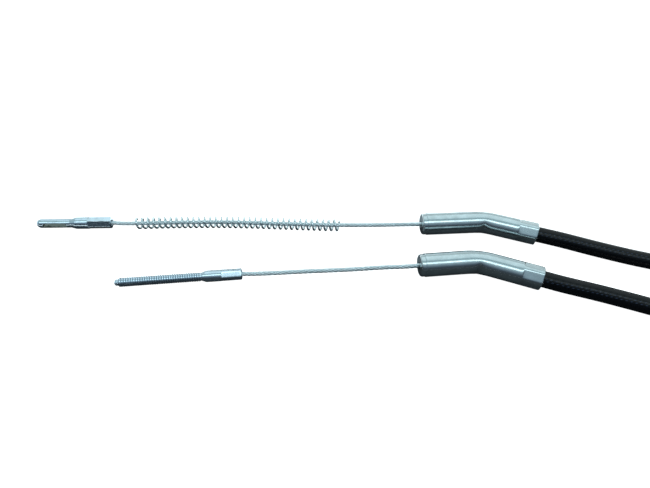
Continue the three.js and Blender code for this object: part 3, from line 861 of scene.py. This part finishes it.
class BRAKECABLE_OT_add_ferrules(bpy.types.Operator):
    """Adds the two bent steel ferrules, turned, hex crimped on the conduit and bent"""

    bl_idname = "brakecable.add_ferrules"
    bl_label = "Add Ferrules"

    def execute(self, context):
        for node, seat in (("wheel_ferrule", WHEEL_FERRULE), ("lever_ferrule", LEVER_FERRULE)):
            piece = self.ferrule(node, seat)
            material = bright_zinc(f"{node}_zinc", seat["heading"] - seat["bend"] / 2)
            settled(piece, material, node, "conduit", 32)
        return {"FINISHED"}

    def ferrule(self, node, seat):
        size = sizes()
        radius = size.ferrule_diameter / MM / 2
        bore = size.conduit_diameter / MM / 2 + SEAT_GAP
        bend_radius = size.bend_radius / MM
        nose = radius - NOSE_STEP
        body = NOSE_LENGTH + 0.3
        angle, bend_start, bend_end, length = ferrule_lengths(seat)
        crimp = length - FERRULE_CRIMP_LENGTH
        end = length - FERRULE_END_ROUND
        outline = [(0, NOSE_HOLE_RADIUS), (0, nose - NOSE_ROUND)]
        outline += rounded((NOSE_ROUND, nose - NOSE_ROUND), NOSE_ROUND, 180, 90, 7)[1:]
        outline += [(NOSE_LENGTH - 0.12, nose), (NOSE_LENGTH, nose - 0.08), (NOSE_LENGTH + 0.06, nose + 0.12)]
        outline += [(NOSE_LENGTH + 0.16, radius - 0.05), (body, radius)]
        outline += [(x, radius) for x in stations(body, crimp, step=1.1)]
        outline += [(crimp, radius)]
        outline += [(x, radius) for x in stations(crimp, crimp + CRIMP_RAMP, step=0.2)]
        outline += [(x, radius) for x in stations(crimp + CRIMP_RAMP, end, step=1.2)]
        outline += rounded((end, radius - FERRULE_END_ROUND), FERRULE_END_ROUND, 90, 0)
        outline += [(length, bore + MOUTH_CHAMFER), (length - MOUTH_CHAMFER, bore)]
        outline += [(x, bore) for x in reversed(stations(NOSE_WALL, length - MOUTH_CHAMFER, step=2.0))]
        outline += [(NOSE_WALL, bore), (NOSE_WALL, NOSE_HOLE_RADIUS), (0, NOSE_HOLE_RADIUS)]
        piece = turned(f"{node}_tube", outline, 120)

        def crimped_and_bent(x, y, z):
            pressed = smoothstep(x, crimp, crimp + CRIMP_RAMP)
            depth = size.ferrule_crimp / MM
            x, y, z = six_flats(x, y, z, radius, bore, depth, pressed, -FERRULE_CRIMP_TURN)
            middle = (bend_start + bend_end) / 2
            nearest = np.maximum(0, np.minimum(x - bend_start, bend_end - x))
            corner = nearest**2 / (2 * bend_radius)
            crease = CREASE_DEPTH * np.exp(-(((x - middle) / CREASE_LENGTH) ** 2))
            buckled = (corner + crease) * np.clip(-y / radius, 0, 1) ** CREASE_POWER
            return bent_right(x, y + buckled, z, bend_start, angle, bend_radius)

        reshape(piece, crimped_and_bent)
        return seated(piece, seat, radius)


class BRAKECABLE_OT_add_ropes(bpy.types.Operator):
    """Adds the two bare lengths of twisted wire rope"""

    bl_idname = "brakecable.add_ropes"
    bl_label = "Add Ropes"

    def execute(self, context):
        size = sizes()
        radius, lay = size.rope_diameter / MM / 2, size.strand_lay / MM
        for node, body, way in (
            ("wheel_rope", "wheel_core", wheel_rope_way()),
            ("lever_rope", "lever_core", lever_rope_way()),
        ):
            piece = twisted_rope(f"{node}_strands", way, radius, size.rope_strands, lay)
            settled(piece, drawn_rope_wire(f"{node}_wire"), node, body, 60)
        return {"FINISHED"}


class BRAKECABLE_OT_add_stud(bpy.types.Operator):
    """Adds the threaded stud with its crimp sleeve, turned from one bar"""

    bl_idname = "brakecable.add_stud"
    bl_label = "Add Stud"

    SLEEVE_END = 22.9
    NECK_START = 26.3
    NECK = 2.6
    THREAD_START = 27.2
    THREAD_END = 79.3
    PILOT = 2.1
    TIP = 81.6
    TIP_CHAMFER = 0.8
    CRIMP_END = 13.4
    CRIMP_DEPTH = 0.5
    CRIMP_TURN = 34
    GROOVE_DEPTH = 0.42
    # Painted shade in the thread's grooves, darkest at their bottoms
    GROOVE_SHADE_COLOUR = (0.34, 0.43, 0.52)

    def execute(self, context):
        thread = sizes().thread_diameter / MM / 2
        lead = thread - self.PILOT
        run_out = self.THREAD_END - lead
        outline = sleeve_outline(STUD_SLEEVE, self.CRIMP_END) + [(self.SLEEVE_END - 0.3, STUD_SLEEVE)]
        outline += [(self.SLEEVE_END + 0.3, STUD_SLEEVE - 0.06), (self.NECK_START - 0.3, self.NECK + 0.12)]
        outline += [(self.NECK_START + 0.15, self.NECK), (self.THREAD_START - 0.5, self.NECK)]
        outline += [(self.THREAD_START, thread)]
        outline += [(x, thread) for x in stations(self.THREAD_START, run_out, step=0.1)]
        outline += [(run_out, thread)]
        outline += [(run_out + i * lead / 12, thread - i * lead / 12) for i in range(1, 13)]
        chamfer = self.TIP - self.TIP_CHAMFER
        end = self.PILOT - self.TIP_CHAMFER
        outline += [(chamfer - 0.1, self.PILOT), (chamfer + 0.1, self.PILOT - 0.1)]
        outline += [(self.TIP - 0.1, end + 0.1), (self.TIP, end - 0.1), (self.TIP, 0)]
        piece = turned("stud_and_sleeve", outline, 72)
        marks = []
        reshape(piece, lambda x, y, z: self.crimped_and_threaded(x, y, z, thread, marks))
        # How deep each point lies in a groove, kept for the painted shade in the grooves
        piece.data.attributes.new("inside", "FLOAT", "POINT").data.foreach_set("value", marks[0])
        seated(piece, STUD_SEAT, STUD_SLEEVE)
        material = bright_zinc("stud_zinc", STUD_SEAT["heading"], finishes().blue_zinc)
        painted_recess_shade(material, self.GROOVE_SHADE_COLOUR)
        settled(piece, material, "threaded_stud", "lever_core", 38)
        return {"FINISHED"}

    def crimped_and_threaded(self, x, y, z, thread, marks):
        """Presses the sleeve's flats, cuts the thread, and notes how deep in a groove each point is, for the
        painted shade in the grooves.
        """
        pressed = 1 - smoothstep(x, self.CRIMP_END - CRIMP_RAMP, self.CRIMP_END)
        x, y, z = six_flats(x, y, z, STUD_SLEEVE, rope_bore(), self.CRIMP_DEPTH, pressed, self.CRIMP_TURN)
        reach = np.hypot(y, z)
        phase = (x / (sizes().thread_pitch / MM) - np.arctan2(z, y) / (2 * math.pi)) % 1
        groove = smoothstep(np.abs(phase - 0.5) * 2, 0.35, 0.85)
        cut = thread - self.GROOVE_DEPTH * groove
        threaded = (x > self.THREAD_START - 0.4) & (x < self.THREAD_END - 0.05)
        factor = np.where(threaded, np.minimum(reach, cut) / np.maximum(reach, 1e-6), 1)
        marks.append(np.where(threaded, groove, 0).astype(np.float32))
        return x, y * factor, z * factor


class BRAKECABLE_OT_add_eye(bpy.types.Operator):
    """Adds the slotted eye with its crimp sleeve, turned from one bar and slotted"""

    bl_idname = "brakecable.add_eye"
    bl_label = "Add Eye"

    SLEEVE_END = 24.8
    BAR = 3.25
    BAR_START = 28.4
    TIP = 53.2
    CRIMP_END = 16.2
    CRIMP_DEPTH = 0.6
    SLOT_MIDDLE = 39.5
    SLOT_LENGTH = 17
    SLOT_WIDTH = 4.3
    SLOT_RIM = 0.25
    # Painted shade on the slot's inner walls
    SLOT_SHADE_COLOUR = (0.16, 0.18, 0.17)

    def execute(self, context):
        outline = sleeve_outline(EYE_SLEEVE, self.CRIMP_END) + [(self.SLEEVE_END - 0.4, EYE_SLEEVE)]
        outline += [(self.SLEEVE_END + 0.3, EYE_SLEEVE - 0.05), (self.BAR_START - 0.4, self.BAR + 0.1)]
        outline += [(self.BAR_START, self.BAR)]
        outline += [(x, self.BAR) for x in stations(self.BAR_START, self.TIP - self.BAR, step=1.0)]
        outline += rounded((self.TIP - self.BAR, 0), self.BAR, 90, 0, 12)
        piece = turned("eye_and_sleeve", outline, 72)
        reshape(piece, self.crimped)
        self.slotted(piece)
        self.mark_shaded_slot(piece)
        seated(piece, EYE_SEAT, EYE_SLEEVE)
        material = bright_zinc("eye_zinc", EYE_SEAT["heading"], finishes().blue_zinc)
        painted_recess_shade(material, self.SLOT_SHADE_COLOUR)
        settled(piece, material, "slotted_eye", "wheel_core", 34)
        return {"FINISHED"}

    def crimped(self, x, y, z):
        pressed = 1 - smoothstep(x, self.CRIMP_END - CRIMP_RAMP, self.CRIMP_END)
        return six_flats(x, y, z, EYE_SLEEVE, rope_bore(), self.CRIMP_DEPTH, pressed, 0)

    def mark_shaded_slot(self, piece):
        """Marks the slot's inner walls for painted shade, as the slot shades them."""
        inside = np.zeros(len(piece.data.loops), np.float32)
        for face in piece.data.polygons:
            x, y, z = face.center
            if abs(x - self.SLOT_MIDDLE) < self.SLOT_LENGTH / 2 + 0.2 and math.hypot(y, z) < self.BAR - 0.3:
                inside[list(face.loop_indices)] = 1
        piece.data.attributes.new("inside", "FLOAT", "CORNER").data.foreach_set("value", inside)

    def slotted(self, piece):
        """Cuts the slot with a bar that has round ends and lies across the eye, and softens its rims."""
        deselect_everything()
        half = self.SLOT_WIDTH / 2
        straight = self.SLOT_LENGTH / 2 - half
        bpy.ops.mesh.primitive_cylinder_add(vertices=64, radius=half, depth=14, rotation=(math.pi / 2, 0, 0))
        cutter = bpy.context.object
        bpy.ops.object.transform_apply(location=True, rotation=True, scale=True)
        reshape(cutter, lambda x, y, z: (x + np.sign(np.round(x, 4)) * straight + self.SLOT_MIDDLE, y, z))
        cut = piece.modifiers.new("slot", "BOOLEAN")
        cut.operation = "DIFFERENCE"
        cut.solver = "EXACT"
        cut.object = cutter
        select_only(piece)
        bpy.ops.object.modifier_apply(modifier=cut.name)
        bpy.data.objects.remove(cutter)
        softened = piece.modifiers.new("rim", "BEVEL")
        softened.width = self.SLOT_RIM
        softened.segments = 3
        softened.limit_method = "ANGLE"
        softened.angle_limit = math.radians(50)
        softened.use_clamp_overlap = True
        bpy.ops.object.modifier_apply(modifier=softened.name)


class BRAKECABLE_OT_add_spring(bpy.types.Operator):
    """Adds the open return spring that lies on the wheel side's rope"""

    bl_idname = "brakecable.add_spring"
    bl_label = "Add Spring"

    LENGTH = 145.4
    SETBACK = 17.7
    LEAN_AT_EYE = -0.55
    LEAN_AT_FERRULE = 0.75
    DROP = 0.95
    STEPS_PER_TURN = 36
    WIRE_SIDES = 12

    def execute(self, context):
        size = sizes()
        turns, wire = size.spring_turns, size.spring_wire / MM / 2
        coil = size.spring_diameter / MM / 2 - wire
        way = wheel_rope_way()
        start = ROPE_SEAT_DEPTH + self.SETBACK
        piece = rolled("coiled_spring", 1, turns * self.STEPS_PER_TURN, self.WIRE_SIDES)

        def coiled(x, y, z):
            share = np.clip(x, 0, 1)
            centre, direction, left, up = way.at(start + self.LENGTH * share)
            centre[:, 1] += self.LEAN_AT_EYE + (self.LEAN_AT_FERRULE - self.LEAN_AT_EYE) * share
            centre[:, 2] = np.maximum(coil + wire, centre[:, 2] - self.DROP)
            turn = 2 * math.pi * turns * share
            outwards = left * np.cos(turn)[:, None] + up * np.sin(turn)[:, None]
            round_it = up * np.cos(turn)[:, None] - left * np.sin(turn)[:, None]
            ahead_way = round_it * (2 * math.pi * turns * coil) + direction * self.LENGTH
            ahead_way /= np.linalg.norm(ahead_way, axis=1)[:, None]
            across = np.cross(ahead_way, outwards)
            across /= np.linalg.norm(across, axis=1)[:, None]
            places = centre + outwards * (coil + wire * y)[:, None] + across * (wire * z)[:, None]
            return in_metres(*places.T)

        reshape(piece, coiled)
        ends_closed(piece)
        settled(piece, drawn_spring_wire(), "return_spring", "wheel_core", 60)
        return {"FINISHED"}


OPERATORS = (
    BRAKECABLE_OT_set_stage,
    BRAKECABLE_OT_add_conduit,
    BRAKECABLE_OT_add_ferrules,
    BRAKECABLE_OT_add_ropes,
    BRAKECABLE_OT_add_stud,
    BRAKECABLE_OT_add_eye,
    BRAKECABLE_OT_add_spring,
)


class BRAKECABLE_PT_panel(bpy.types.Panel):
    """Lists the steps that build the brake cable"""

    bl_label = "Brake Cable"
    bl_idname = "BRAKECABLE_PT_panel"
    bl_space_type = "VIEW_3D"
    bl_region_type = "UI"
    bl_category = "Brake Cable"

    def draw(self, context):
        for operator in OPERATORS:
            self.layout.operator(operator.bl_idname)
        for name in CableSizes.__annotations__:
            self.layout.prop(context.scene.brake_cable_sizes, name)
        for name in CableFinishes.__annotations__:
            self.layout.prop(context.scene.brake_cable_finishes, name)


CLASSES = (CableSizes, CableFinishes, *OPERATORS, BRAKECABLE_PT_panel)


def register():
    for made in CLASSES:
        bpy.utils.register_class(made)
    bpy.types.Scene.brake_cable_sizes = bpy.props.PointerProperty(type=CableSizes)
    bpy.types.Scene.brake_cable_finishes = bpy.props.PointerProperty(type=CableFinishes)


def unregister():
    del bpy.types.Scene.brake_cable_finishes
    del bpy.types.Scene.brake_cable_sizes
    for made in reversed(CLASSES):
        bpy.utils.unregister_class(made)


def main():
    register()
    bpy.ops.brakecable.set_stage()
    bpy.ops.brakecable.add_conduit()
    bpy.ops.brakecable.add_ferrules()
    bpy.ops.brakecable.add_ropes()
    bpy.ops.brakecable.add_stud()
    bpy.ops.brakecable.add_eye()
    bpy.ops.brakecable.add_spring()


if __name__ == "__main__":
    main()
